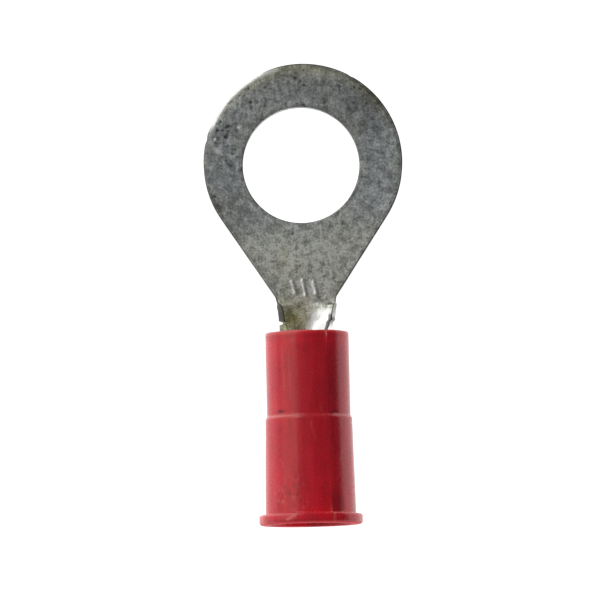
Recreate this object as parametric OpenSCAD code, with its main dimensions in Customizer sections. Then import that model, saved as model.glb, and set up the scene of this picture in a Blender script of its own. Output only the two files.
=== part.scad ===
// Ring terminal with a moulded vinyl sleeve, for a 6 mm stud and 0.5 to 1.5 square mm wire.
// Millimetres. The origin is the middle of the stud hole, on the face that is bolted down.
// +Y points to the tip of the ring, +Z points up to the side with the barrel's seam,
// and the wire goes in at the -Y end.

/* [Tongue] */
// Thickness of the sheet that the terminal is stamped and rolled from
stock = 0.75; // [0.65:0.05:0.85]
// Diameter of the stud hole
hole_d = 6.7; // [5.3:0.1:7.7]
// Outside diameter of the ring
ring_d = 11.44; // [10.4:0.02:12.6]
// How far the ring's middle lies to the right of the hole's, from the punch
punch_x = 0.11; // [-0.2:0.01:0.2]
// How far the ring's middle lies ahead of the hole's, from the punch
punch_y = 0.13; // [-0.2:0.01:0.2]
// Angle between each tapering side and the middle line
taper_angle = 33.4; // [29:0.1:38]
// Width of the tongue where its tapering sides end
neck_w = 3.52; // [3.2:0.02:3.9]
// Size of the bevel along the upper edges of the sheet, from the stamping
edge_bevel = 0.08; // [0.03:0.01:0.12]

/* [Neck] */
// Length of the flat neck before the sheet starts to curl
flat_l = 0.1; // [0.05:0.05:0.5]
// Length of the scoop, where the sheet curls up between the flat neck and the notches
scoop_l = 1.27; // [0.9:0.01:1.8]
// Width of the sheet at the end of the scoop, measured along its curve
waist_w = 3; // [2.7:0.02:3.1]
// Angle that each side of the scoop has turned through when it reaches the notches
scoop_turn = 24; // [18:1:30]
// Length of the relief notches between the scoop and the barrel's wings
notch_l = 0.24; // [0.1:0.02:0.4]
// Depth of the relief notches
notch_depth = 0.2; // [0:0.01:0.3]
// Length from the notches to the closed barrel
closing_l = 1.3; // [1.1:0.05:1.6]
// How far inside the barrel's width each wing stays until it closes
wing_inset = 0.025; // [0.015:0.005:0.06]
// Length over which the wings widen until their edges meet
shoulder_l = 0.38; // [0.3:0.02:0.5]
// How far ahead of the closed barrel the wings have its full curl
early_curl = 0.2; // [0.1:0.02:0.25]
// How much each face of the neck lies inside the tongue's and the barrel's, where rolling stretched it
thinning = 0.015; // [0.01:0.005:0.02]

/* [Barrel] */
// Outside diameter of the rolled barrel
barrel_d = 3.2; // [3:0.05:3.5]
// Length of the closed barrel
barrel_l = 4.1; // [3.6:0.1:6]
// Width of the butted seam along the barrel's top
seam_w = 0.04; // [0.03:0.01:0.1]
// Number of grip grooves inside the barrel
groove_count = 3; // [0:1:4]
// Width of a grip groove
groove_w = 0.3; // [0.2:0.05:0.4]
// Depth of a grip groove
groove_depth = 0.06; // [0.03:0.01:0.1]
// Distance from one grip groove to the next
groove_pitch = 0.9; // [0.7:0.05:1]
// Size of the bevel at the mouth that the strands go into
mouth_bevel = 0.15; // [0.05:0.05:0.25]

/* [Sleeve] */
// Clearance all round between the barrel and the sleeve's grip
sleeve_fit = 0.01; // [0:0.005:0.03]
// Thickness of the sleeve's wall over the barrel
grip_wall = 0.775; // [0.6:0.005:0.95]
// How far the sleeve's bore widens on each side towards its front edge, to let the wings in
lead_in = 0.36; // [0.3:0.02:0.4]
// Length of the widened front of the bore
lead_in_l = 0.6; // [0.6:0.02:0.8]
// Length of the sleeve's front part, which grips the barrel
grip_l = 4.8; // [4:0.1:6]
// How far the sleeve's front edge reaches over the barrel's wings
overhang = 0.78; // [0.4:0.02:1]
// How much wider the bore for the insulation is than the bore for the barrel
insulation_room = 0.68; // [0.4:0.02:0.9]
// Thickness of the skirt's wall behind the step
skirt_wall = 0.525; // [0.4:0.005:0.7]
// Length of the skirt, from the step to the rim
skirt_l = 5.65; // [4.5:0.05:7]
// How far the skirt widens on each side on its way to the rim
skirt_flare = 0.11; // [0:0.01:0.2]
// Length of the sloping step between the grip and the skirt
step_l = 0.16; // [0.05:0.01:0.3]
// How far the rim stands out beyond the skirt
rim_out = 0.38; // [0.2:0.01:0.5]
// Thickness of the rim
rim_l = 0.58; // [0.4:0.02:0.8]
// Length of the funnel inside the rim
funnel_l = 0.9; // [0.5:0.05:1.5]
// How far the funnel widens on each side
funnel_flare = 0.25; // [0.1:0.01:0.35]
// Radius of the sleeve's moulded edges
edge_r = 0.12; // [0.05:0.01:0.18]

/* [Hidden] */
$fn = 96;

// Tongue
ring_r = ring_d / 2;
hole_r = hole_d / 2;
neck_half = neck_w / 2;
taper_l = (ring_r - neck_half * cos(taper_angle)) / sin(taper_angle);
// The bevel's width across the sheet, where the tapering sides pass it on to the neck
bevel_w = edge_bevel / cos(taper_angle);

// Places along the middle line, measured from the middle of the ring
taper_end = -taper_l;
curl_start = taper_end - flat_l;
scoop_end = curl_start - scoop_l;
notch_end = scoop_end - notch_l;
barrel_start = notch_end - closing_l;
barrel_end = barrel_start - barrel_l;
sleeve_front = barrel_start + overhang;

// Rolled sheet
barrel_r = barrel_d / 2;
bore_r = barrel_r - stock;
rolled_r = barrel_r - stock / 2;
radian = 180 / PI;
scoop_half = waist_w / 2;
wing_reach = barrel_r - wing_inset;
shoulder_start = barrel_start + shoulder_l;
curl_end = barrel_start + early_curl;
closed_half = rolled_r * PI - seam_w;
scoop_bend = scoop_turn / radian / scoop_half;
barrel_bend = 1 / rolled_r;
bury_l = stock / 5;
curl_steps = 26;

// Sleeve
grip_bore_r = barrel_r + sleeve_fit;
grip_r = grip_bore_r + grip_wall;
insulation_r = grip_bore_r + insulation_room / 2;
skirt_r = insulation_r + skirt_wall;
skirt_end_r = skirt_r + skirt_flare;
rim_r = skirt_end_r + rim_out;
mouth_r = insulation_r + funnel_flare;
seat_end = sleeve_front - barrel_end;
skirt_start = grip_l + step_l;
rim_start = grip_l + skirt_l;
sleeve_l = rim_start + rim_l;

// Goes from 0 to 1 as y runs from one place to another, slow at both ends
function ease(y, from, to) =
    let (u = min(max((y - from) / (to - from), 0), 1))
    u * u * (3 - 2 * u);

// Goes from 0 to 1 as y runs from one place to another, slow at the end only
function settle(y, from, to) = sin(90 * min(max((y - from) / (to - from), 0), 1));

// Goes from 0 to 1 as y runs from one place to another, with a short start and a long, slow end
function swell(y, from, to) =
    let (u = min(max((y - from) / (to - from), 0), 1))
    1 - pow(1 - u, 3) * (1 + 3 * u);

// Bend of the sheet at a place along the neck, which is one over its radius
function sheet_bend(y) =
    scoop_bend * swell(y, curl_start, scoop_end)
        + (barrel_bend - scoop_bend) * ease(y, scoop_end, curl_end);

// How much of its depth a relief notch has at a place along the neck
function notch_share(y) =
    ease(y, scoop_end, scoop_end - notch_l / 3) - ease(y, notch_end + notch_l / 3, notch_end);

// Half the width at which the curled sheet reaches as far out as the wings may
function wing_half(y) =
    let (bend = sheet_bend(y)) asin(wing_reach / (1 / bend + stock / 2)) / radian / bend;

// Half the width of the sheet at a place along the neck, measured along its curve
function sheet_half(y) =
    y >= scoop_end ? neck_half + (scoop_half - neck_half) * settle(y, taper_end, scoop_end)
    : y >= shoulder_start
        ? scoop_half + (wing_half(y) - scoop_half) * ease(y, scoop_end, notch_end)
            - notch_depth * notch_share(y)
    : wing_half(y) + (closed_half - wing_half(y)) * ease(y, shoulder_start, barrel_start);

// Point of the sheet: across runs along its width and rise goes up from its middle layer
function sheet_point(y, across, rise) =
    let (bend = sheet_bend(y), turn = across * bend * radian)
    bend == 0
        ? [across, y, stock / 2 + rise]
        : [(1 / bend - rise) * sin(turn), y, stock / 2 + 1 / bend - (1 / bend - rise) * cos(turn)];

// Points round the section of the sheet, with its upper corners bevelled
function sheet_ring(y) =
    let (
        half = sheet_half(y) - thinning,
        flat_half = half - bevel_w,
        inner = [for (i = [0 : curl_steps]) flat_half * (2 * i / curl_steps - 1)],
        across = concat([-half], inner, [half]),
        top = stock / 2 - thinning,
        last = len(across) - 1
    )
    concat(
        [for (i = [last : -1 : 0]) sheet_point(y, across[i], -top)],
        [for (i = [0 : last])
            sheet_point(y, across[i], i == 0 || i == last ? top - edge_bevel : top)]
    );

// Places from one end of a stretch to the other, without its first end
function places(from, to, count) = [for (i = [1 : count]) from + (to - from) * i / count];

// Solid through the rings of a sheet that follow one another. A ring has its lower points first,
// and its upper points come back over them, so each end is closed by a strip of four-sided faces.
module loft_sheet(rings) {
    n = len(rings[0]);
    last = (len(rings) - 1) * n;
    starts = [0 : n : last - n];
    strip = [0 : n / 2 - 2];
    polyhedron(
        points = [for (ring = rings) each ring],
        faces = concat(
            [for (i = strip) [n - 1 - i, n - 2 - i, i + 1, i]],
            [for (j = starts, i = [0 : n - 1]) [j + i, j + (i + 1) % n, j + n + i]],
            [for (j = starts, i = [0 : n - 1])
                [j + (i + 1) % n, j + n + (i + 1) % n, j + n + i]],
            [for (i = strip) [last + i, last + i + 1, last + n - 2 - i, last + n - 1 - i]]
        )
    );
}

// Flat plate of the tongue: a ring, and a taper whose sides leave it at a tangent
module tongue_plate() {
    tangent_x = ring_r * cos(taper_angle);
    tangent_y = -ring_r * sin(taper_angle);
    cylinder(r = ring_r, h = stock);
    linear_extrude(stock)
        polygon([
            [0, 0],
            [tangent_x, tangent_y],
            [neck_half, taper_end],
            [-neck_half, taper_end],
            [-tangent_x, tangent_y]
        ]);
}

module stud_hole() {
    translate([-punch_x, -punch_y, 0]) {
        translate([0, 0, -stock]) cylinder(r = hole_r, h = 3 * stock);
        translate([0, 0, stock - edge_bevel])
            cylinder(r1 = hole_r, r2 = hole_r + 2 * edge_bevel, h = 2 * edge_bevel);
    }
}

// Section of what the bevel takes off the plate's upper edge, with the edge at the radius of the ring
module bevel_waste() {
    translate([ring_r, stock])
        polygon([
            [edge_bevel, edge_bevel],
            [-2 * edge_bevel, edge_bevel],
            [edge_bevel, -2 * edge_bevel]
        ]);
}

// Bevel round the ring and down both sides of the taper, which start where the ring's arc ends
module outer_bevel() {
    rotate([0, 0, -taper_angle]) rotate_extrude(angle = 180 + 2 * taper_angle) bevel_waste();
    for (side = [0, 1])
        mirror([side, 0, 0])
            rotate([90, 0, -taper_angle]) linear_extrude(taper_l) bevel_waste();
}

module tongue() {
    difference() {
        tongue_plate();
        stud_hole();
        outer_bevel();
    }
}

// The sheet curls up from the flat tongue into a scoop, and past the notches into the barrel.
// Both its ends run on into the tongue and the barrel.
module neck() {
    stations = concat(
        [taper_end + bury_l, curl_start],
        places(curl_start, scoop_end, 12),
        places(scoop_end, notch_end, 6),
        places(notch_end, shoulder_start, 9),
        places(shoulder_start, barrel_start, 8),
        [barrel_start - bury_l]
    );
    loft_sheet([for (y = stations) sheet_ring(y)]);
}

module grip_grooves() {
    middle = barrel_l / 2;
    for (i = [0 : 1 : groove_count - 1])
        translate([0, 0, middle + (i - (groove_count - 1) / 2) * groove_pitch - groove_w / 2])
            cylinder(r = bore_r + groove_depth, h = groove_w);
}

// Closed barrel, drawn along +Z from its front end
module barrel() {
    difference() {
        cylinder(r = barrel_r, h = barrel_l);
        translate([0, 0, -stock]) cylinder(r = bore_r, h = barrel_l + 2 * stock);
        translate([0, 0, barrel_l - mouth_bevel])
            cylinder(r1 = bore_r, r2 = bore_r + 2 * mouth_bevel, h = 2 * mouth_bevel);
        grip_grooves();
        translate([-seam_w / 2, 0, -stock]) cube([seam_w, barrel_d, barrel_l + 2 * stock]);
    }
}

// Puts what is drawn along +Z on the line of the barrel, with its front at y
module on_barrel_line(y) {
    translate([0, y, barrel_r]) rotate([90, 0, 0]) children();
}

module terminal() {
    color("darkgray")
        translate([punch_x, punch_y, 0]) {
            tongue();
            neck();
            on_barrel_line(barrel_start) barrel();
        }
}

// What a round takes off a corner at the origin, for a wall that lies towards -x and -y
module corner_waste() {
    translate([-edge_r, -edge_r])
        difference() {
            square(2 * edge_r);
            circle(edge_r);
        }
}

// Section of the sleeve's wall, as radius and distance from the sleeve's front edge
module sleeve_section() {
    difference() {
        polygon([
            [grip_bore_r, lead_in_l],
            [grip_bore_r + lead_in, 0],
            [grip_r, 0],
            [grip_r, grip_l],
            [skirt_r, skirt_start],
            [skirt_end_r, rim_start],
            [rim_r, rim_start],
            [rim_r, sleeve_l],
            [mouth_r, sleeve_l],
            [insulation_r, sleeve_l - funnel_l],
            [insulation_r, seat_end + insulation_room / 2],
            [grip_bore_r, seat_end]
        ]);
        translate([grip_r, 0]) mirror([0, 1]) corner_waste();
        translate([rim_r, rim_start]) mirror([0, 1]) corner_waste();
        translate([rim_r, sleeve_l]) corner_waste();
    }
}

module sleeve() {
    color("firebrick")
        translate([punch_x, punch_y, 0])
            on_barrel_line(sleeve_front) rotate_extrude() sleeve_section();
}

terminal();
sleeve();
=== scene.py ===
"""Looks of an insulated ring terminal, lying face up and seen from above.

The row frame has its origin at the centre of the stud hole, +Y towards the ring's tip and +Z up.
Shapes are worked out in millimetres and become metres when a mesh is made. The terminal and the
sleeve are one mesh each. A mesh keeps numbers at its points, such as how worn a place is or where
a highlight or shade is painted, and its material reads them.
"""

import math

import bpy
import numpy as np
from mathutils import Matrix, Vector


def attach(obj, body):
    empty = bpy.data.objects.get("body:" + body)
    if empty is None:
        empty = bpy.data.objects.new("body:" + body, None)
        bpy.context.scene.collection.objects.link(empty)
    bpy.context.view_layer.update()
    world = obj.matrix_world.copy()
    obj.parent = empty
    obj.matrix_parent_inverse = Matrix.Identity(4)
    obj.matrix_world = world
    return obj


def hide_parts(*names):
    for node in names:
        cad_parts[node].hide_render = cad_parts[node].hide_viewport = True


MM = 0.001

# Middle of the ring, seen from the centre of the stud hole
PUNCH_X = 0.11
PUNCH_Y = 0.13

# Tongue
STOCK = 0.75
HOLE_R = 3.35
RING_R = 5.72
TAPER = math.radians(33.4)
NECK_HALF = 1.76
STROKE_H = 0.034

# Cut edges: how far the upper edge rolls over, and the small round at the foot
EDGE_ROLL = 0.08
EDGE_DROP = 0.06
HOLE_ROLL = 0.06
HOLE_DROP = 0.05
FOOT_ROUND = 0.04
ROLL_STEPS = 5
FOOT_STEPS = 3

# Neck
FLAT_L = 0.1
SCOOP_L = 1.27
WAIST_W = 3.0
SCOOP_TURN = math.radians(24)
NOTCH_L = 0.24
NOTCH_DEPTH = 0.2
CLOSING_L = 1.3
WING_REACH = 0.985
SHOULDER_L = 0.38
EARLY_CURL = 0.2

# This one's own faults: its scoop has a climbing floor, and a knee and a burr on the right side
HEEL = 0.15
HEEL_DELAY = 0.3
HEEL_L = 1.7
HEEL_TOP = -9.9
KNEE = 0.9
KNEE_EASE = 0.85
KNEE_L = 0.4
BURR_SHARE = 0.75
# The gap that the burr leaves of the right notch, where painted shade goes
GAP_Y = -9.1
GAP_W = 0.32
# Where the right wing's edge gets painted shade: its start, full, fading and end
WING_EDGE = (-8.65, -8.85, -10.0, -10.4)

# Barrel
BARREL_R = 1.6
BARREL_L = 4.1
SEAM_W = 0.04
GROOVE_COUNT = 3
GROOVE_W = 0.3
GROOVE_DEPTH = 0.06
GROOVE_PITCH = 0.9
GROOVE_FLANK = 0.012
MOUTH_BEVEL = 0.15

# Sleeve
OVERHANG = 0.78
GRIP_BORE_R = 1.61
GRIP_R = 2.385
INSULATION_R = 1.95
SKIRT_R = 2.475
SKIRT_END_R = 2.585
RIM_R = 2.965
MOUTH_R = 2.2
GRIP_L = 4.8
STEP_L = 0.16
SKIRT_L = 5.65
RIM_L = 0.58
FUNNEL_L = 0.9
LEAD_IN = 0.36
LEAD_IN_L = 0.6
BORE_STEP_L = 0.34
EDGE_R = 0.12
RIM_EDGE_R = 0.2
MOUTH_EDGE_R = 0.16
RIM_FOOT_R = 0.08
SEAM_TURN = math.radians(27)
SEAM_BASE = 0.25
FRONT_WAVE = 0.02
FRONT_WAVE_L = 0.13

# Room between the part and the floor
FLOOR_GAP = 0.03

# Where things are along the middle line, from the ring's middle
TAPER_END = -(RING_R - NECK_HALF * math.cos(TAPER)) / math.sin(TAPER)
CURL_START = TAPER_END - FLAT_L
SCOOP_END = CURL_START - SCOOP_L
NOTCH_END = SCOOP_END - NOTCH_L
BARREL_START = NOTCH_END - CLOSING_L
BARREL_END = BARREL_START - BARREL_L
BARREL_MIDDLE = BARREL_START - BARREL_L / 2
SLEEVE_FRONT = BARREL_START + OVERHANG
ROLL_END = BARREL_START + EARLY_CURL
SHOULDER_START = BARREL_START + SHOULDER_L

# Where things are along the sleeve, from its front edge
SEAT_END = SLEEVE_FRONT - BARREL_END
SKIRT_START = GRIP_L + STEP_L
RIM_START = GRIP_L + SKIRT_L
SLEEVE_L = RIM_START + RIM_L

# Rolled sheet
ROLLED_R = BARREL_R - STOCK / 2
SCOOP_HALF = WAIST_W / 2
CLOSED_HALF = ROLLED_R * math.pi - SEAM_W
SCOOP_BEND = SCOOP_TURN / SCOOP_HALF
BARREL_BEND = 1 / ROLLED_R

# Points down each side of the tongue, round its ring, across the sheet and round the sleeve
SIDE_N = 92
RING_N = 310
ACROSS_N = 93
ROUND_N = 320
# Points near each corner of the neck where the edge's roll becomes the neck's own
CORNER_N = 10
# Radius at which a turn round the sleeve becomes a distance
ROUND_R = 2.45


# Small tools


def ramp(v, start, end):
    """Goes from 0 to 1 as v runs from start to end, slow at both ends."""
    u = np.clip((v - start) / (end - start), 0, 1)
    return u * u * (3 - 2 * u)


def between(v, start, full, fading, end):
    """Goes from 0 to 1 as v runs from start to full, and back to 0 from fading to end."""
    return ramp(v, start, full) * (1 - ramp(v, fading, end))


def settle(v, start, end):
    """Goes from 0 to 1 as v runs from start to end, slow at the end only."""
    u = np.clip((v - start) / (end - start), 0, 1)
    return np.sin(u * math.pi / 2)


def swell(v, start, end):
    """Goes from 0 to 1 as v runs from start to end, with a short start and a long, slow end."""
    u = np.clip((v - start) / (end - start), 0, 1)
    return 1 - (1 - u) ** 3 * (1 + 3 * u)


def band(v, middle, width):
    """Is 1 where v is at the middle and falls off softly over that width."""
    return np.exp(-(((v - middle) / width) ** 2))


def bump_at(x, y, cx, cy, rx, ry, turn=0.0):
    """A soft spot of height 1 at (cx, cy), with radii rx and ry, turned by that many radians."""
    c, s = math.cos(turn), math.sin(turn)
    u = ((x - cx) * c + (y - cy) * s) / rx
    v = (-(x - cx) * s + (y - cy) * c) / ry
    return np.exp(-(u * u + v * v))


def spots(x, y, rows):
    """Sum of soft spots, each with its place, its radii, its turn and its height."""
    return sum(height * bump_at(x, y, *spot) for *spot, height in rows)


def stroke_at(x, y, x0, y0, x1, y1, width):
    """A ridge of height 1 with a round section along the line between two points."""
    dx, dy = x1 - x0, y1 - y0
    t = np.clip(((x - x0) * dx + (y - y0) * dy) / (dx * dx + dy * dy), 0, 1)
    gap = np.hypot(x - x0 - t * dx, y - y0 - t * dy)
    return band(gap, 0, width)


def waves(p, size, seed, count=14):
    """Smooth noise of about -1 to 1 at the points p, with bumps of about that size."""
    rng = np.random.default_rng(seed)
    total = np.zeros(len(p))
    for _ in range(count):
        way = rng.normal(size=p.shape[1])
        way /= np.linalg.norm(way)
        pitch = 2 * math.pi / (size * rng.uniform(1.2, 3.2))
        total += np.sin(p @ way * pitch + rng.uniform(0, 2 * math.pi))
    return total * (1.6 / count)


class Points:
    """Collects points in rows, and gives back their numbers."""

    def __init__(self):
        self.rows = []
        self.count = 0

    def add(self, row):
        row = np.asarray(row, float).reshape(-1, 3)
        self.rows.append(row)
        numbers = np.arange(self.count, self.count + len(row))
        self.count += len(row)
        return numbers

    def all(self):
        return np.concatenate(self.rows)


def strips(faces, a, b, closed=False):
    """Adds four-sided faces between two rows of point numbers."""
    n = len(a)
    for i in range(n if closed else n - 1):
        j = (i + 1) % n
        faces.append((int(a[i]), int(a[j]), int(b[j]), int(b[i])))


def cap(faces, numbers):
    """Adds one face with those points round it."""
    faces.append(tuple(int(i) for i in numbers))


def make_mesh(name, co, faces, smooth_angle):
    """A mesh object from points in millimetres, smooth where faces meet at less than the angle."""
    mesh = bpy.data.meshes.new(name)
    mesh.from_pydata((co * MM).tolist(), [], faces)
    mesh.validate()
    obj = bpy.data.objects.new(name, mesh)
    bpy.context.scene.collection.objects.link(obj)
    bpy.context.view_layer.objects.active = obj
    obj.select_set(True)
    bpy.ops.object.mode_set(mode="EDIT")
    bpy.ops.mesh.select_all(action="SELECT")
    bpy.ops.mesh.normals_make_consistent(inside=False)
    bpy.ops.object.mode_set(mode="OBJECT")
    bpy.ops.object.shade_smooth_by_angle(angle=math.radians(smooth_angle))
    obj.select_set(False)
    return obj


def store(obj, name, values):
    """Keeps a number for each point of the mesh, for the material."""
    attribute = obj.data.attributes.new(name, "FLOAT", "POINT")
    attribute.data.foreach_set("value", np.asarray(values, np.float32))


# Terminal: marks on its upper face

# Three short struck strokes where the tongue meets the neck: both ends and a width
STROKES = [
    (-0.66, -6.74, -0.5, -7.38, 0.11),
    (-0.06, -6.66, 0.1, -7.52, 0.1),
    (0.56, -6.78, 0.7, -7.42, 0.11),
]

# Dents at the ring's upper left, and how brightly they are rubbed
DENTS = [
    (-4.92, 0.98, 0.34, 0.16, -0.6, 0.04),
    (-3.57, 2.3, 0.18, 0.09, 0.15, 0.03),
    (-4.98, 1.59, 0.1, 0.1, 0.0, 0.03),
]
RUBS = [
    (-4.92, 0.98, 0.36, 0.15, -0.6, 0.95),
    (-3.57, 2.3, 0.18, 0.08, 0.15, 1.0),
    (-4.98, 1.59, 0.1, 0.09, 0.0, 1.0),
]

# Scuffs on the tongue, and, first, six patches of painted shade and light at the neck's crease and in its
# scoop: place, radii, turn, height and change of tone
SCUFFS_AND_SHADE = [
    (1.46, -8.05, 0.24, 0.07, 0.05, -0.03, -0.85),
    (1.15, -8.0, 0.5, 0.1, 0.05, 0.0, -0.25),
    (-0.95, -7.95, 0.5, 0.14, 0.0, 0.0, -0.15),
    (-0.63, -8.42, 0.5, 0.25, 0.0, 0.0, 0.2),
    (-0.8, -8.95, 0.4, 0.16, 0.1, 0.0, -0.25),
    (0.45, -7.8, 0.3, 0.2, 0.0, 0.0, 0.25),
    (1.1, -6.52, 0.22, 0.05, 0.3, -0.012, -0.3),
    (1.25, -7.6, 0.07, 0.07, 0.0, 0.012, 0.3),
    (1.0, -6.85, 0.06, 0.05, 0.0, 0.01, 0.25),
    (-1.25, -7.2, 0.16, 0.05, -0.9, -0.012, -0.25),
    (-1.05, -6.2, 0.2, 0.05, 0.1, -0.01, -0.2),
    (0.35, -6.1, 0.1, 0.05, 0.4, 0.01, 0.2),
    (-1.2, -7.75, 0.1, 0.05, -1.0, 0.012, 0.25),
    (4.35, 2.05, 0.1, 0.09, 0.0, -0.012, 0.35),
    (3.95, 1.9, 0.08, 0.06, 0.0, -0.01, 0.3),
    (0.25, -4.1, 0.16, 0.1, 0.2, -0.01, -0.3),
    (-1.7, -5.9, 0.3, 0.05, 0.05, -0.008, -0.18),
]

# Wide lighter and darker places: place, radii, turn and change of tone
CLOUDS = [
    (0.0, -4.6, 2.0, 0.9, 0.0, 0.12),
    (3.9, 3.6, 1.0, 1.3, -0.8, -0.32),
    (-3.7, 3.6, 1.2, 1.6, 0.8, 0.12),
]

# Painted shade in a line along the ring's edge, at turns in degrees from +X; a negative value paints the
# line lighter instead
EDGE_LINE = [
    (0, 0.41),
    (22, 0.5),
    (38, 0.34),
    (52, 0.42),
    (70, 0.42),
    (84, -0.15),
    (106, -0.15),
    (120, 0.0),
    (165, 0.2),
    (178, -0.05),
    (200, 0.32),
    (215, 0.28),
    (300, 0.26),
    (332, 0.5),
    (345, 0.46),
    (360, 0.41),
]

# Pits in the plating that are listed one by one: place and size
MAIN_PITS = [
    (-4.76, 2.13, 0.1),
    (-4.78, 2.45, 0.07),
    (-4.55, 2.55, 0.08),
    (-4.44, 2.09, 0.08),
    (-4.26, 2.25, 0.07),
    (-4.1, 2.04, 0.08),
    (-3.92, 2.3, 0.07),
    (-4.88, 1.38, 0.09),
    (-4.6, 1.34, 0.09),
    (-4.38, 1.36, 0.07),
    (-4.69, 1.66, 0.07),
    (-4.19, 1.65, 0.08),
    (-2.0, 4.51, 0.09),
    (-2.79, 3.66, 0.08),
    (-3.65, 3.14, 0.09),
]


def on_ring(turn, far):
    """Place on the ring at that turn and distance from its middle."""
    return PUNCH_X + far * math.cos(turn), PUNCH_Y + far * math.sin(turn)


def pit_places():
    """All pits: those listed in MAIN_PITS, more at the upper left, round the ring and on the tongue."""
    rng = np.random.default_rng(5)
    rows = list(MAIN_PITS)
    for _ in range(22):
        turn = math.radians(rng.uniform(118, 168))
        far = rng.uniform(4.2, 5.45)
        rows.append((*on_ring(turn, far), rng.uniform(0.06, 0.11)))
    for _ in range(34):
        turn = rng.uniform(-0.5, math.pi + 0.6)
        far = rng.uniform(3.7, 5.4)
        rows.append((*on_ring(turn, far), rng.uniform(0.05, 0.09)))
    for _ in range(22):
        x = rng.uniform(-2.6, 2.6)
        y = rng.uniform(-6.4, -3.8)
        rows.append((x * (8.6 + y) / 4.8, y, rng.uniform(0.05, 0.1)))
    return rows


PITS = pit_places()


def struck_marks(x, y):
    """Height of the struck strokes, each a little taller at its lower end."""
    total = np.zeros_like(x)
    for x0, y0, x1, y1, width in STROKES:
        total += stroke_at(x, y, x0, y0, x1, y1, width)
        total += 0.5 * bump_at(x, y, x1, y1, 0.1, 0.12)
    return np.minimum(total, 1.2)


def rim_gap(x, y):
    """Distance from the blank's edge, inwards, round the ring and down its two straight sides."""
    far = np.hypot(x - PUNCH_X, y - PUNCH_Y)
    aside = np.abs(x - PUNCH_X)
    down = PUNCH_Y - y
    straight = aside * math.cos(TAPER) + down * math.sin(TAPER)
    below = down > aside * math.tan(TAPER)
    return RING_R - np.where(below, straight, far)


def ring_turn(x, y):
    """Turn in degrees from +X, round the ring's middle."""
    return np.degrees(np.arctan2(y - PUNCH_Y, x - PUNCH_X)) % 360


def tongue_top(x, y):
    """How far the tongue's upper face stands off its flat plane."""
    p = np.stack([x, y], 1)
    lift = 0.006 * waves(p, 1.4, 11) + 0.0035 * waves(p, 0.5, 12) + 0.0015 * waves(p, 0.2, 13)
    fall = np.clip(1 - (rim_gap(x, y) - 0.1) / 0.3, 0, 1) ** 2
    lift -= 0.028 * fall * between(ring_turn(x, y), 96, 112, 154, 166)
    for px, py, size in PITS:
        lift -= 0.016 * bump_at(x, y, px, py, size, size * 0.8)
    lift -= spots(x, y, DENTS)
    for *spot, height, _ in SCUFFS_AND_SHADE:
        lift += height * bump_at(x, y, *spot)
    return lift


# Terminal: the sheet's bend and width along the neck


def sheet_bend(y):
    """One over the radius of the sheet's middle layer at a place along the neck."""
    roll = ramp(y, SCOOP_END, ROLL_END)
    start = 0.6 * ramp(y, CURL_START - 0.2, CURL_START - 0.46)
    start = start + 0.4 * swell(y, CURL_START, SCOOP_END)
    return SCOOP_BEND * start + (BARREL_BEND - SCOOP_BEND) * roll


def notch_share(y):
    """How much of its depth a relief notch has at a place along the neck."""
    opening = ramp(y, SCOOP_END, SCOOP_END - NOTCH_L / 3)
    return opening - ramp(y, NOTCH_END + NOTCH_L / 3, NOTCH_END)


def sheet_half(y):
    """Half the width of the sheet at a place along the neck, measured along its curve."""
    if y >= SCOOP_END:
        return NECK_HALF + (SCOOP_HALF - NECK_HALF) * settle(y, TAPER_END, SCOOP_END)
    bend = sheet_bend(y)
    wing = math.asin(WING_REACH * BARREL_R / (1 / bend + STOCK / 2)) / bend
    if y >= SHOULDER_START:
        start = SCOOP_HALF + (wing - SCOOP_HALF) * ramp(y, SCOOP_END, NOTCH_END)
        return start - NOTCH_DEPTH * notch_share(y)
    return wing + (CLOSED_HALF - wing) * ramp(y, SHOULDER_START, BARREL_START)


def right_gain(y):
    """How much wider than the left side the right side is: its notch is almost closed by a burr."""
    burr = BURR_SHARE * NOTCH_DEPTH * notch_share(y)
    folded = between(y, SCOOP_END, NOTCH_END, SHOULDER_START + 0.3, SHOULDER_START)
    return burr - 0.07 * folded + 0.09 * ramp(y, CURL_START, CURL_START - KNEE_L)


def right_ease(y):
    """How much flatter the scoop is beyond the knee on its right side."""
    return KNEE_EASE * between(y, CURL_START, CURL_START - KNEE_L, NOTCH_END, ROLL_END)


def heel(y):
    """How far the floor of the scoop climbs on its way into the sleeve, before it comes down again."""
    climb = max(0.0, min(1.0, (CURL_START - HEEL_DELAY - y) / HEEL_L))
    return HEEL * climb * climb * (2 - climb) * float(1 - ramp(y, HEEL_TOP, BARREL_START))


def sheet_points(y, across, rise):
    """Points of the bent sheet: across runs along its width and rise goes up from its middle."""
    bend = sheet_bend(y)
    if bend < 1e-9:
        return np.stack([across, np.full_like(across, y), STOCK / 2 + rise], 1)
    knee_turn = np.minimum(across, KNEE) * bend
    eased = bend * (1 - right_ease(y))
    turn = knee_turn + np.maximum(across - KNEE, 0) * eased
    x = np.sin(knee_turn) / bend + (np.sin(turn) - np.sin(knee_turn)) / eased
    z = (1 - np.cos(knee_turn)) / bend + (np.cos(knee_turn) - np.cos(turn)) / eased
    x = x - rise * np.sin(turn)
    z = z + rise * np.cos(turn)
    return np.stack([x, np.full_like(across, y), STOCK / 2 + z], 1)


# Terminal: the mesh


def edge_profile(top_roll, top_drop):
    """Inset and height of points down a cut edge: its rolled upper edge, the cut, a small round."""
    rows = []
    for k in range(1, ROLL_STEPS + 1):
        a = k / ROLL_STEPS * math.pi / 2
        rows.append((top_roll * (1 - math.sin(a)), STOCK - top_drop * (1 - math.cos(a))))
    rows.append((0.0, STOCK * 0.62))
    rows.append((0.0, STOCK * 0.3))
    for k in range(FOOT_STEPS + 1):
        a = k / FOOT_STEPS * math.pi / 2
        rows.append((FOOT_ROUND * (1 - math.cos(a)), FOOT_ROUND * (1 - math.sin(a))))
    return np.array(rows)


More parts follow.
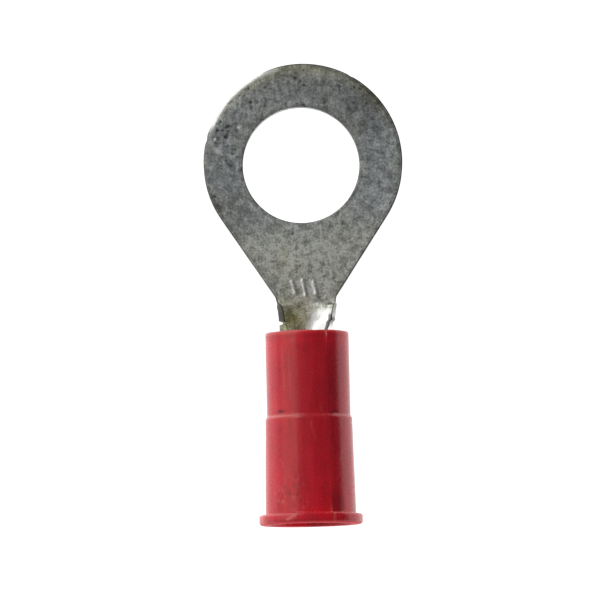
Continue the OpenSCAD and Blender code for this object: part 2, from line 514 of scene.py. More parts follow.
# The last point of a cut edge is the lower face's own
WALL = edge_profile(EDGE_ROLL, EDGE_DROP)[:-1]
WALL_N = len(WALL)


def blank_outline():
    """Points of the tongue's edge, from the neck's left corner round to its right, and their ways out."""
    corner = np.array([NECK_HALF, TAPER_END])
    tangent = np.array([RING_R * math.cos(TAPER), -RING_R * math.sin(TAPER)])
    side = corner + (tangent - corner) * np.linspace(0, 1, SIDE_N)[:, None]
    side_way = np.array([math.cos(TAPER), -math.sin(TAPER)])
    turns = np.linspace(math.pi + TAPER, -TAPER, RING_N)[1:-1]
    round_way = np.stack([np.cos(turns), np.sin(turns)], 1)
    outline = np.concatenate([side * [-1, 1], RING_R * round_way, side[::-1]])
    left_ways = np.tile(side_way * [-1, 1], (SIDE_N, 1))
    right_ways = np.tile(side_way, (SIDE_N, 1))
    ways = np.concatenate([left_ways, round_way, right_ways])
    mitre = (side_way + [1, 0]) / 2
    mitre /= mitre @ mitre
    mitre *= math.cos(TAPER / 2) ** 2
    ways[0] = mitre * [-1, 1]
    ways[-1] = mitre
    return outline, ways


def worn_edge(outline):
    """How far the die has pulled the edge in, mostly at the upper left, and how far it rolls over."""
    turn = np.degrees(np.arctan2(outline[:, 1], outline[:, 0])) % 360
    pull = 0.06 * between(turn, 110, 122, 155, 160)
    pull += 0.01 * waves(outline, 0.9, 21) * ramp(turn, 90, 110)
    pull += 0.05 * band(turn, 165.5, 1.8)
    pull += 0.03 * band(turn, 60, 1.3)
    pull = np.clip(pull, 0.0, 0.2)
    pull[0] = 0
    pull[-1] = 0
    roll = 0.075 + 0.09 * between(turn, 102, 118, 156, 164)
    roll += 0.012 * waves(outline, 0.9, 22)
    roll[:CORNER_N] += (EDGE_ROLL - roll[:CORNER_N]) * np.linspace(1, 0, CORNER_N)
    roll[-CORNER_N:] += (EDGE_ROLL - roll[-CORNER_N:]) * np.linspace(0, 1, CORNER_N)
    return pull, roll


def closed_loop(edge, neck_half):
    """The edge, closed by a straight line across the neck from its right corner to its left."""
    across = np.linspace(1, -1, ACROSS_N) * neck_half
    line = np.stack([across, np.full(ACROSS_N, TAPER_END)], 1)
    edge[0] = line[-1]
    edge[-1] = line[0]
    return np.concatenate([edge, line[1:-1]])


def lay(row, z):
    """Points of the tongue at that height, from places seen from the ring's middle."""
    return np.stack([row[:, 0] + PUNCH_X, row[:, 1] + PUNCH_Y, np.broadcast_to(z, len(row))], 1)


def upper_height(row, t):
    """Height of the tongue's upper face, which is even right beside the hole."""
    x, y, _ = lay(row, 0).T
    return STOCK + tongue_top(x, y) * min(t / 0.04, 1.0) + STROKE_H * struck_marks(x, y)


def add_face(pts, faces, inner, outer, shares, height):
    """Adds a face of the tongue in rows from the hole to the edge, and gives back the rows."""
    rows = []
    for t in shares:
        row = inner + (outer - inner) * t
        rows.append(pts.add(lay(row, height(row, t))))
    for a, b in zip(rows[:-1], rows[1:]):
        strips(faces, a, b, closed=True)
    return rows


def add_wall(pts, faces, cuts_and_shade, top, places, foot, weight, closed=False):
    """Adds a cut edge in rows between the points of two faces, and gives back the rows."""
    rows = []
    for row, z in places:
        rows.append(pts.add(lay(row, z)))
        cuts_and_shade.append((rows[-1], weight))
    for a, b in zip([top, *rows], [*rows, foot]):
        strips(faces, a, b, closed)
    return rows


def edge_places(outline, ways, roll, top_z):
    """Rows down the tongue's cut edge, whose upper edge has its own roll at each place."""
    for k, (inset, z) in enumerate(edge_profile(1.0, 1.0)[:-1]):
        if k < ROLL_STEPS:
            drop = (STOCK - z) * np.clip(roll * 0.75, 0.05, 0.16)
            yield outline - ways * (roll * inset)[:, None], top_z - drop
        else:
            yield outline - ways * inset, z


def make_tongue(pts, faces, cuts_and_shade):
    """Adds the tongue, and gives the numbers of the points round its end, in neck_loop's order."""
    outline, ways = blank_outline()
    pull, roll = worn_edge(outline)
    outline = outline - ways * pull[:, None]
    n = len(outline)
    loop_top = closed_loop(outline - ways * roll[:, None], NECK_HALF - EDGE_ROLL)
    loop_foot = closed_loop(outline - ways * FOOT_ROUND, NECK_HALF - FOOT_ROUND)

    # Each point of the loop has one at the hole's edge, on the same ray from the hole's middle
    hole_middle = np.array([-PUNCH_X, -PUNCH_Y])
    ray = loop_top - hole_middle
    ray /= np.linalg.norm(ray, axis=1)[:, None]

    def at_hole(inset):
        return hole_middle + ray * (HOLE_R + inset)

    upper_shares = np.concatenate([np.linspace(0, 0.7, 22)[:-1], np.linspace(0.7, 1, 32)])
    lower_shares = np.linspace(0, 1, 9)
    upper = add_face(pts, faces, at_hole(HOLE_ROLL), loop_top, upper_shares, upper_height)
    top_z = pts.rows[-1][:n, 2]
    lower = add_face(pts, faces, at_hole(FOOT_ROUND), loop_foot, lower_shares, lambda row, t: 0)

    hole_places = [(at_hole(inset), z) for inset, z in edge_profile(HOLE_ROLL, HOLE_DROP)[:-1]]
    # The cut walls round the hole and the blank are darkened, partly for the bare cut and partly as
    # painted shade
    add_wall(pts, faces, cuts_and_shade, upper[0], hole_places, lower[0], 0.6, closed=True)
    places = edge_places(outline, ways, roll, top_z)
    walls = add_wall(pts, faces, cuts_and_shade, upper[-1][:n], places, lower[-1][:n], 0.75)

    top_line = np.append(upper[-1][n - 1 :], upper[-1][0])
    foot_line = np.append(lower[-1][n - 1 :], lower[-1][0])
    left_wall = [wall[0] for wall in walls]
    right_wall = [wall[-1] for wall in walls]
    return np.concatenate([top_line, left_wall, foot_line[::-1], right_wall[::-1]])


def groove_middles():
    """Where the grip grooves are along the barrel."""
    for i in range(GROOVE_COUNT):
        yield BARREL_MIDDLE - (i - (GROOVE_COUNT - 1) / 2) * GROOVE_PITCH


def neck_places():
    """Places of the sections along the neck and the barrel, close together at the grooves' flanks."""
    places = [
        np.linspace(TAPER_END, CURL_START, 4)[1:],
        np.linspace(CURL_START, SCOOP_END, 33)[1:],
        np.linspace(SCOOP_END, NOTCH_END, 13)[1:],
        np.linspace(NOTCH_END, BARREL_START, 30)[1:],
    ]
    marks = [BARREL_END + MOUTH_BEVEL]
    for middle in groove_middles():
        for side in (middle + GROOVE_W / 2, middle - GROOVE_W / 2):
            marks += [side + GROOVE_FLANK, side - GROOVE_FLANK]
    even = np.linspace(BARREL_START, BARREL_END, 34)[1:]
    barrel = np.unique(np.concatenate([even, marks]))[::-1]
    kept = [barrel[0]]
    for y in barrel[1:]:
        if kept[-1] - y > 0.01 or y == BARREL_END:
            kept.append(y)
    return np.concatenate(places + [kept])


def top_rise(y, across):
    """Height of the sheet's upper face over its middle layer, with marks, grooves and bevel."""
    rise = np.full(ACROSS_N, STOCK / 2)
    if y > BARREL_START:
        flat_x = across + PUNCH_X
        flat_y = np.full(ACROSS_N, y + PUNCH_Y)
        fade = float(1 - ramp(y, SCOOP_END, NOTCH_END))
        rise = rise + tongue_top(flat_x, flat_y) * 0.8
        if y > SCOOP_END:
            rise = rise + STROKE_H * struck_marks(flat_x, flat_y)
        rise = rise + 0.004 * waves(np.stack([flat_x, flat_y], 1), 0.35, 31) * fade
    for middle in groove_middles():
        if abs(y - middle) < GROOVE_W / 2:
            rise = rise - GROOVE_DEPTH
    if y < BARREL_END + MOUTH_BEVEL:
        rise = rise - (BARREL_END + MOUTH_BEVEL - y)
    return rise


def sheared_edge(y):
    """How far the cut edge wanders along the neck."""
    return 0.004 * math.sin(7 * y) + 0.003 * math.sin(17.3 * y + 1)


def neck_loop(y):
    """Points round the sheet: its top leftwards, left wall down, foot rightwards, right wall up."""
    half = float(sheet_half(y))
    if NOTCH_END < y < TAPER_END:
        half += sheared_edge(y)
    right_half = half + float(right_gain(y))
    across = np.linspace(right_half - EDGE_ROLL, EDGE_ROLL - half, ACROSS_N)
    rise = top_rise(y, across)
    inset, height = WALL.T
    drop = np.minimum(rise[-1], height - STOCK / 2)
    foot = np.linspace(FOOT_ROUND - half, right_half - FOOT_ROUND, ACROSS_N)
    loop = np.concatenate(
        [
            sheet_points(y, across, rise),
            sheet_points(y, inset - half, drop),
            sheet_points(y, foot, np.full(ACROSS_N, -STOCK / 2)),
            sheet_points(y, (right_half - inset)[::-1], drop[::-1]),
        ]
    )
    return loop + [PUNCH_X, PUNCH_Y, heel(y)]


def neck_cuts_and_shade(y, loop):
    """Points of a section that are darkened, and how much: cut walls, partly for the bare cut and partly
    as painted shade, and painted shade in the burr's gap and along the right wing's edge.
    """
    top = loop[:ACROSS_N]
    left = loop[ACROSS_N : ACROSS_N + WALL_N]
    right = loop[-WALL_N:]
    wing = float(ramp(y, SCOOP_END, NOTCH_END))
    outer = 0.62 * (1 - wing)
    inner = float(between(y, *WING_EDGE))
    gap = float(band(y, GAP_Y, GAP_W))
    return [
        (left, 1.0 - 0.3 * wing),
        (right[:3], outer),
        (right[3:-2], max(outer, gap)),
        (right[-2:], max(0.9 * inner, gap)),
        (top[:5], max(0.85 * inner, 0.9 * gap)),
    ]


def make_neck(pts, faces, cuts_and_shade, section):
    """Adds the neck and the barrel, from the section where the tongue ends."""
    for y in neck_places():
        loop = pts.add(neck_loop(y))
        strips(faces, section, loop, closed=True)
        cuts_and_shade += neck_cuts_and_shade(y, loop)
        section = loop
    foot_start = ACROSS_N + WALL_N
    foot_end = foot_start + ACROSS_N
    strips(faces, section[:ACROSS_N], section[foot_start:foot_end][::-1])
    cap(faces, section[ACROSS_N - 1 : foot_start + 1])
    cap(faces, np.append(section[foot_end - 1 :], section[0]))


def make_terminal():
    pts = Points()
    faces = []
    cuts_and_shade = []
    make_neck(pts, faces, cuts_and_shade, make_tongue(pts, faces, cuts_and_shade))
    co = pts.all()
    obj = make_mesh("terminal_sheet", co, faces, 50)
    paint_terminal(obj, co, cuts_and_shade)
    return obj


def paint_terminal(obj, co, cuts_and_shade):
    """Keeps where the plating is rubbed bright or carries a painted highlight, its tone, lighter and
    darker with painted light and shade in it, where it is warm, and where the sheet is cut or painted
    with shade.
    """
    x, y, z = co.T
    p = np.stack([x, y], 1)
    gap = rim_gap(x, y)
    turn = ring_turn(x, y)
    corner = between(turn, 100, 116, 154, 164)
    rolled = ramp(z, 0.42, 0.62)

    # Painted highlight along the rolled upper-left edge of the ring, which also lightens its tone
    rim_highlight = 0.9 * (1 - ramp(gap, 0.1, 0.4)) * corner * rolled
    # Painted highlight on the tops of the struck strokes
    marks = struck_marks(x, y) * ramp(z, 0.6, 0.7)
    rubs = spots(x, y, RUBS) * ramp(z, 0.45, 0.55)
    # Painted highlight on the right side of the scoop
    lean = 0.3 * np.clip(-y - 8.5, 0, 0.8)
    scoop_highlight = ramp(x - PUNCH_X + lean, 0.1, 0.65) * between(-y, 8.2, 8.75, 10.2, 10.6)
    store(obj, "bright_and_highlight", np.clip(0.55 * marks + rim_highlight + rubs + scoop_highlight, 0, 1))

    # Painted light: lighter towards the neck, for its brighter reflection there; also lighter on the
    # right and darker at the lower left
    tone = 0.84 + 0.47 * ramp(-y, 1.5, 5.2) - 0.02 * ramp(y, 2.0, 5.5)
    tone += 0.26 * ramp(x, 2.5, 5.0) * between(-y, -2.5, 1.5, 2.0, 4.5)
    tone -= 0.24 * ramp(-x, 1.5, 4.2) * ramp(-y, 1.5, 4.0)
    tone += 0.14 * corner * between(gap, 0.15, 0.3, 0.5, 0.9)
    tone += spots(x, y, CLOUDS)
    tone += 0.12 * waves(p, 1.3, 51) + 0.07 * waves(p, 0.6, 52)
    for px, py, size in PITS:
        tone -= 0.65 * bump_at(x, y, px, py, size * 1.05, size * 0.85)
    # Tone of the scuffs, and the painted shade and light of the patches at the crease and in the scoop
    for *spot, _, change in SCUFFS_AND_SHADE:
        tone += change * bump_at(x, y, *spot)
    # Painted shade along the ring's edge, outside the upper-left corner
    tone -= 0.8 * np.interp(turn, *zip(*EDGE_LINE)) * band(gap, 0.16, 0.07) * (1 - corner)
    # Lighter near the edge from the top round to the left, outside the upper-left corner
    upper_rim = between(turn, 78, 86, 180, 195) * (1 - corner)
    tone += 0.16 * upper_rim * (1 - ramp(gap, 0.35, 0.6))
    hole_gap = np.hypot(x, y) - HOLE_R
    # Painted shade in a thin line round the hole's edge, and a lighter ring just beyond it, more so
    # towards the neck
    tone -= 0.12 * band(hole_gap, 0.14, 0.07)
    tone += (0.08 + 0.1 * ramp(-y, 0.0, 2.5)) * band(hole_gap, 0.32, 0.11)
    store(obj, "tone", np.clip(tone * (1 + 0.35 * rim_highlight), 0.2, 1.5))

    warm = 0.1 + 0.16 * ramp(-y, 2.5, 5.0)
    warm += 0.4 * ramp(-y, 7.2, 8.4) * (1 - scoop_highlight) * (1 - 0.9 * ramp(x, -0.4, 0.7))
    warm += 0.55 * bump_at(x, y, -0.8, -8.95, 0.55, 0.45)
    warm += 0.3 * (1 - ramp(gap, 0.3, 0.9)) * between(turn, 15, 40, 140, 160)
    warm -= 0.2 * ramp(np.abs(x), 3.2, 4.6) * ramp(y, -3.5, -1.0) * ramp(gap, 0.3, 0.9)
    warm += 0.14 * waves(p, 1.6, 53)
    store(obj, "warm", np.clip(warm, 0, 1))

    # Cut walls, partly bare cut and partly painted shade, and painted shade in the neck's gap and along
    # its right wing; none on the upper-left rim
    cut_and_shade = np.zeros(len(co))
    for numbers, weight in cuts_and_shade:
        cut_and_shade[numbers] = weight
    store(obj, "cut_and_shade", cut_and_shade * (1 - corner * rolled * (y > 0)))


# Sleeve: marks on its outside, by the distance round it from its top and the distance along it

# Short dents just in front of the step: place and depth
DASHES = [(-1.75, GRIP_L - 0.17, 1.0), (1.68, GRIP_L - 0.11, 0.55)]

# Lines between two points, with a width
FLANGE_MARK = (-1.15, RIM_START + 0.36, -0.72, RIM_START + 0.08, 0.08)
SCRATCHES = [
    (-1.75, 7.3, -1.2, 8.4, 0.045),
    (-1.35, 8.3, -1.7, 9.1, 0.04),
    (-2.0, 8.6, -1.6, 9.2, 0.04),
    (-1.6, 1.0, -1.5, 3.4, 0.05),
    (-1.15, 1.5, -1.1, 3.9, 0.04),
    (0.1, 5.4, 0.35, 6.3, 0.05),
    (0.65, 4.3, 0.95, 5.1, 0.05),
]

# Wide lighter and darker places: place, radii and change of tone
SHADES = [
    (0.55, 8.6, 0.8, 2.6, 0.3),
    (1.5, 3.0, 0.5, 2.4, -0.12),
    (-0.3, 0.3, 0.9, 0.9, 0.2),
    (1.35, 0.5, 0.3, 0.9, 0.35),
]


def speck_places():
    """Pits and grains, many of them near the rim: place, size, and which way and how far."""
    rng = np.random.default_rng(8)
    rows = []
    for _ in range(34):
        x = rng.uniform(-2.3, -0.1)
        s = RIM_START - abs(rng.normal(0.0, 0.9)) - 0.12
        size = rng.uniform(0.045, 0.09)
        rows.append((x, s, size, rng.choice([-1.0, -1.0, 0.7])))
    for _ in range(30):
        x = rng.uniform(-7.0, 7.0)
        s = rng.uniform(0.4, RIM_START - 0.4)
        rows.append((x, s, rng.uniform(0.04, 0.08), rng.choice([-0.6, 0.5])))
    return rows


SPECKS = speck_places()


def on_tube(turn, s):
    """Points on a plain tube, where noise has no break as it runs round the sleeve."""
    return np.stack([np.cos(turn) * ROUND_R, np.sin(turn) * ROUND_R, s], 1)


def seam_gap(turn, seam):
    """Distance round the sleeve from the moulding line at that turn."""
    return np.abs((turn - seam + math.pi) % (2 * math.pi) - math.pi) * ROUND_R


def seam_height(s):
    """Height of a moulding line's flash, which is tallest at the front edge and at the rim."""
    return SEAM_BASE + 0.1 * np.sin(s * 2.3) + band(s, 0.2, 0.3) + band(s, RIM_START + 0.05, 0.45)


def sleeve_marks(turn, s):
    """How far the sleeve's outside stands off its true shape."""
    x = turn * ROUND_R
    p = on_tube(turn, s)
    lift = 0.006 * waves(p, 2.2, 41) + 0.003 * waves(p, 0.7, 42)
    lift += 0.0022 * waves(on_tube(turn, s * 0.12), 0.3, 43)
    for seam in (SEAM_TURN, SEAM_TURN - math.pi):
        lift += 0.032 * seam_height(s) * band(seam_gap(turn, seam), 0, 0.05)
    for px, ps, size, way in SPECKS:
        lift += 0.018 * way * bump_at(x, s, px, ps, size, size)
    for scratch in SCRATCHES:
        lift -= 0.007 * stroke_at(x, s, *scratch)
    for px, ps, deep in DASHES:
        lift -= 0.03 * deep * bump_at(x, s, px, ps, 0.24, 0.06)
    lift += 0.035 * stroke_at(x, s, *FLANGE_MARK)
    return lift


# Sleeve: the mesh


def sleeve_profile():
    """Radius and distance from the front edge, once round the wall's section."""
    rows = []

    def path(step, *corners):
        """Points about a step apart, from the first corner up to the last, which is left out."""
        for (r0, s0), (r1, s1) in zip(corners[:-1], corners[1:]):
            n = max(1, round(math.hypot(r1 - r0, s1 - s0) / step))
            for i in range(n):
                rows.append((r0 + (r1 - r0) * i / n, s0 + (s1 - s0) * i / n))

    def arc(middle_r, middle_s, start, end, radius, n=6):
        """Points from one turn in degrees up to another, which is left out."""
        for i in range(n):
            a = math.radians(start + (end - start) * i / n)
            rows.append((middle_r + radius * math.cos(a), middle_s + radius * math.sin(a)))

    front = (GRIP_BORE_R + LEAD_IN, 0)
    step_top = (GRIP_R, GRIP_L - 0.05)
    step_edge = (GRIP_R + 0.01, GRIP_L + 0.01)
    step_foot = (SKIRT_R - 0.012, SKIRT_START - 0.03)
    skirt_front = (SKIRT_R + 0.002, SKIRT_START + 0.05)
    funnel_end = (INSULATION_R, SLEEVE_L - FUNNEL_L)
    bore_step = (INSULATION_R, SEAT_END + BORE_STEP_L)
    seat = (GRIP_BORE_R, SEAT_END)
    lead_in_end = (GRIP_BORE_R, LEAD_IN_L)

    path(0.12, front, (GRIP_R - EDGE_R, 0))
    arc(GRIP_R - EDGE_R, EDGE_R, -90, 0, EDGE_R)
    path(0.075, (GRIP_R, EDGE_R), step_top)
    path(0.03, step_top, step_edge, step_foot, skirt_front)
    path(0.075, skirt_front, (SKIRT_END_R, RIM_START - RIM_FOOT_R))
    arc(SKIRT_END_R + RIM_FOOT_R, RIM_START - RIM_FOOT_R, 180, 90, RIM_FOOT_R, 4)
    path(0.05, (SKIRT_END_R + RIM_FOOT_R, RIM_START), (RIM_R - EDGE_R, RIM_START))
    arc(RIM_R - EDGE_R, RIM_START + EDGE_R, -90, 0, EDGE_R)
    path(0.05, (RIM_R, RIM_START + EDGE_R), (RIM_R, SLEEVE_L - RIM_EDGE_R))
    arc(RIM_R - RIM_EDGE_R, SLEEVE_L - RIM_EDGE_R, 0, 90, RIM_EDGE_R, 8)
    path(0.08, (RIM_R - RIM_EDGE_R, SLEEVE_L), (MOUTH_R + MOUTH_EDGE_R, SLEEVE_L))
    arc(MOUTH_R + MOUTH_EDGE_R, SLEEVE_L - MOUTH_EDGE_R, 90, 180, MOUTH_EDGE_R)
    path(0.09, (MOUTH_R, SLEEVE_L - MOUTH_EDGE_R), funnel_end)
    path(0.25, funnel_end, bore_step)
    path(0.12, bore_step, seat)
    path(0.3, seat, lead_in_end)
    path(0.1, lead_in_end, front)
    return np.array(rows)


def make_sleeve():
    turns = np.linspace(-math.pi, math.pi, ROUND_N + 1)[:-1]
    pts = Points()
    faces = []
    rows = []
    for r, s in sleeve_profile():
        radius = np.full(ROUND_N, r)
        if r >= GRIP_R - 0.001:
            radius += sleeve_marks(turns, np.full(ROUND_N, s))
        if r > RIM_R - 0.01:
            radius = np.minimum(radius, r)
        wave = FRONT_WAVE * np.sin(3 * turns + 1) * max(0.0, 1 - s / FRONT_WAVE_L)
        x = PUNCH_X + radius * np.sin(turns)
        y = PUNCH_Y + SLEEVE_FRONT - s - np.abs(wave)
        z = BARREL_R + radius * np.cos(turns)
        rows.append(pts.add(np.stack([x, y, z], 1)))
    rows.append(rows[0])
    for a, b in zip(rows[:-1], rows[1:]):
        strips(faces, a, b, closed=True)
    co = pts.all()
    obj = make_mesh("sleeve_moulding", co, faces, 40)
    paint_sleeve(obj, co)
    return obj


def paint_sleeve(obj, co):
    """Keeps where the vinyl is rubbed pale or has a painted highlight, where it has painted shade or dark
    pits, where it is matt, and how its colour varies.
    """
    turn = np.arctan2(co[:, 0] - PUNCH_X, co[:, 2] - BARREL_R)
    r = np.hypot(co[:, 0] - PUNCH_X, co[:, 2] - BARREL_R)
    x = turn * ROUND_R
    s = PUNCH_Y + SLEEVE_FRONT - co[:, 1]
    outside = r > GRIP_R - 0.05

    flash = np.clip(seam_height(s) - SEAM_BASE, 0, 1)
    # Painted highlight on the moulding line's flash where it stands tallest
    pale_and_highlight = 0.75 * flash * band(seam_gap(turn, SEAM_TURN), 0, 0.055)
    pale_and_highlight += 0.9 * stroke_at(x, s, *FLANGE_MARK)
    # Painted highlight along the step, strongest at its left end
    step = 0.85 * ramp(-x, 0.4, 0.8) + 0.5 * ramp(x, 1.35, 1.55) + 0.1
    pale_and_highlight += step * band(s, GRIP_L + 0.08, 0.09)
    # Painted highlight along the flange's front edge
    rim = ramp(-x, 0.3, 0.9) + 0.8 * ramp(x, 1.5, 1.8)
    pale_and_highlight += 0.55 * rim * band(s, RIM_START + 0.06, 0.09) * (r > RIM_R - 0.2)
    # Painted highlight along the front edge, wider on the left
    left = ramp(-x, 0.0, 0.9)
    pale_and_highlight += (0.4 + 0.45 * left) * band(s, 0, 0.13 + 0.06 * left)
    # Painted reflection at the flange's two ends and along the rear edge
    pale_and_highlight += 0.5 * ramp(s, RIM_START - 0.05, RIM_START + 0.08) * ramp(np.abs(x), 2.3, 3.2)
    pale_and_highlight += 0.15 * ramp(s, SLEEVE_L - 0.18, SLEEVE_L - 0.06) * (r > RIM_R - 0.25)
    # A faint pale band a little right of the top
    pale_and_highlight += 0.05 * band(x, 0.95, 0.45)
    for scratch in SCRATCHES:
        pale_and_highlight += 0.22 * stroke_at(x, s, *scratch)

    # Darker just behind the front edge
    dark_and_shade = 0.22 * band(s, 0.3, 0.16)
    beyond = x - SEAM_TURN * ROUND_R
    # Painted shade on the right side beyond the moulding line, stronger towards the rim
    shade = 0.15 + 0.3 * between(s, 8.5, 10.0, RIM_START - 0.15, RIM_START)
    dark_and_shade += shade * between(beyond, 0.0, 0.1, 0.75, 1.05)
    # Painted shade at the flange's right end and along the rear edge
    dark_and_shade += 0.3 * ramp(s, RIM_START + 0.02, RIM_START + 0.08) * ramp(x, 2.7, 3.2)
    dark_and_shade += 0.25 * band(s, SLEEVE_L - 0.16, 0.07) * (r > RIM_R - 0.3)
    # Painted shade in the dents in front of the step
    for px, ps, deep in DASHES:
        dark_and_shade += 1.1 * deep * bump_at(x, s, px, ps, 0.28, 0.08)

    for px, ps, size, way in SPECKS:
        spot = bump_at(x, s, px, ps, size, size)
        if way > 0:
            pale_and_highlight += 0.4 * spot
        else:
            dark_and_shade += 0.45 * spot

    tone = 1 + spots(x, s, SHADES) + 0.06 * waves(on_tube(turn, s * 0.25), 0.5, 45)
    store(obj, "pale_and_highlight", np.clip(pale_and_highlight * outside, 0, 1))
    store(obj, "dark_and_shade", np.clip(dark_and_shade * (outside | (s > SLEEVE_L - 0.2)), 0, 1))
    store(obj, "matt", ramp(s, SLEEVE_L - 0.14, SLEEVE_L - 0.03))
    store(obj, "tone", tone)


# Materials


def grey(level):
    """A colour without a hue."""
    return (level, level, level)


class Nodes:
    """Short ways to build the nodes of a material or of the world."""

    def __init__(self, owner, output):
        owner.use_nodes = True
        self.tree = owner.node_tree
        self.tree.nodes.clear()
        self.out = self.add(output)
        self.coords = self.add("ShaderNodeTexCoord")

    def add(self, kind):
        return self.tree.nodes.new(kind)

    def link(self, a, b):
        self.tree.links.new(a, b)

    def feed(self, value, socket):
        """Links a socket, or sets a colour or a number."""
        if isinstance(value, bpy.types.NodeSocket):
            self.link(value, socket)
        elif isinstance(value, tuple):
            socket.default_value = (*value, 1)
        else:
            socket.default_value = value

    def scaled(self, *stretch):
        """Object coordinates in millimetres, stretched along each axis."""
        node = self.add("ShaderNodeMapping")
        node.inputs["Scale"].default_value = [s / MM for s in stretch]
        self.link(self.coords.outputs["Object"], node.inputs["Vector"])
        return node.outputs["Vector"]

    def noise(self, vector, scale, detail, rough, distortion=0.0):
        node = self.add("ShaderNodeTexNoise")
        node.inputs["Scale"].default_value = scale
        node.inputs["Detail"].default_value = detail
        node.inputs["Roughness"].default_value = rough
        node.inputs["Distortion"].default_value = distortion
        self.link(vector, node.inputs["Vector"])
        return node.outputs["Fac"]

    def ramp(self, value, *stops):
        node = self.add("ShaderNodeValToRGB")
        elements = node.color_ramp.elements
        while len(elements) < len(stops):
            elements.new(0.5)
        for element, (place, colour) in zip(elements, stops):
            element.position = place
            element.color = (*colour, 1)
        self.link(value, node.inputs["Fac"])
        return node.outputs["Color"]

    def number(self, value, low, high, out_low, out_high, easing="LINEAR"):
        node = self.add("ShaderNodeMapRange")
        node.interpolation_type = easing
        node.inputs["From Min"].default_value = low
        node.inputs["From Max"].default_value = high
        node.inputs["To Min"].default_value = out_low
        node.inputs["To Max"].default_value = out_high
        self.link(value, node.inputs["Value"])
        return node.outputs["Result"]

    def mix(self, factor, a, b, blend="MIX"):
        node = self.add("ShaderNodeMix")
        node.data_type = "RGBA"
        node.blend_type = blend
        self.feed(factor, node.inputs[0])
        self.feed(a, node.inputs[6])
        self.feed(b, node.inputs[7])
        return node.outputs[2]

    def times(self, a, b):
        """Product of two colours."""
        return self.mix(1.0, a, b, "MULTIPLY")

    def math(self, kind, *values):
        node = self.add("ShaderNodeMath")
        node.operation = kind
        for value, socket in zip(values, node.inputs):
            self.feed(value, socket)
        return node.outputs[0]

    def kept(self, name, output="Fac"):
        """What the mesh keeps under that name."""
        node = self.add("ShaderNodeAttribute")
        node.attribute_name = name
        return node.outputs[output]

    def bump(self, height, strength, distance, normal=None):
        """Relief of that many millimetres, on top of another one if there is one."""
        node = self.add("ShaderNodeBump")
        node.inputs["Strength"].default_value = strength
        node.inputs["Distance"].default_value = distance * MM
        self.link(height, node.inputs["Height"])
        if normal is not None:
            self.link(normal, node.inputs["Normal"])
        return node.outputs["Normal"]


def new_material(name):
    """A material with nothing but its output."""
    material = bpy.data.materials.new(name)
    return material, Nodes(material, "ShaderNodeOutputMaterial")


def tinned_copper():
    """Electro-tinned copper sheet: grey, mottled, pitted, faintly brushed along the blank."""
    material, n = new_material("tinned_copper")
    shader = n.add("ShaderNodeBsdfPrincipled")
    flat = n.scaled(1, 1, 1)
    blotch = n.noise(flat, 2.4, 5.0, 0.66, 0.4)
    fine = n.noise(flat, 8.0, 3.0, 0.6)
    brushed = n.noise(n.scaled(5.0, 0.6, 1.0), 1.6, 3.0, 0.6)
    bright_and_highlight = n.kept("bright_and_highlight")

    plain = (0.0, (0.615, 0.655, 0.67))
    yellow = (0.6, (0.66, 0.66, 0.5))
    brassy = (1.0, (0.63, 0.655, 0.33))
    colour = n.ramp(n.kept("warm"), plain, yellow, brassy)
    colour = n.times(colour, n.ramp(blotch, (0.3, grey(0.42)), (0.5, grey(1.0)), (0.7, grey(1.6))))
    colour = n.times(colour, n.ramp(fine, (0.3, (0.55, 0.54, 0.52)), (0.6, grey(1.1))))
    colour = n.times(colour, n.ramp(brushed, (0.35, grey(0.84)), (0.65, grey(1.1))))
    colour = n.times(colour, n.kept("tone", "Color"))
    # Rubbed places and painted highlights go near white
    colour = n.mix(bright_and_highlight, colour, (0.97, 0.97, 0.96))
    # Cut walls and painted shade go near black
    colour = n.mix(n.kept("cut_and_shade"), colour, (0.05, 0.047, 0.035))
    n.link(colour, shader.inputs["Base Color"])
    shader.inputs["Metallic"].default_value = 1.0

    smooth = n.math("MULTIPLY", bright_and_highlight, 0.14)
    rough = n.math("SUBTRACT", n.number(blotch, 0.3, 0.7, 0.48, 0.4), smooth)
    n.link(rough, shader.inputs["Roughness"])

    relief = n.bump(blotch, 0.25, 0.02)
    relief = n.bump(fine, 0.35, 0.012, relief)
    relief = n.bump(brushed, 0.15, 0.01, relief)
    n.link(relief, shader.inputs["Normal"])
    n.link(shader.outputs["BSDF"], n.out.inputs["Surface"])
    return material


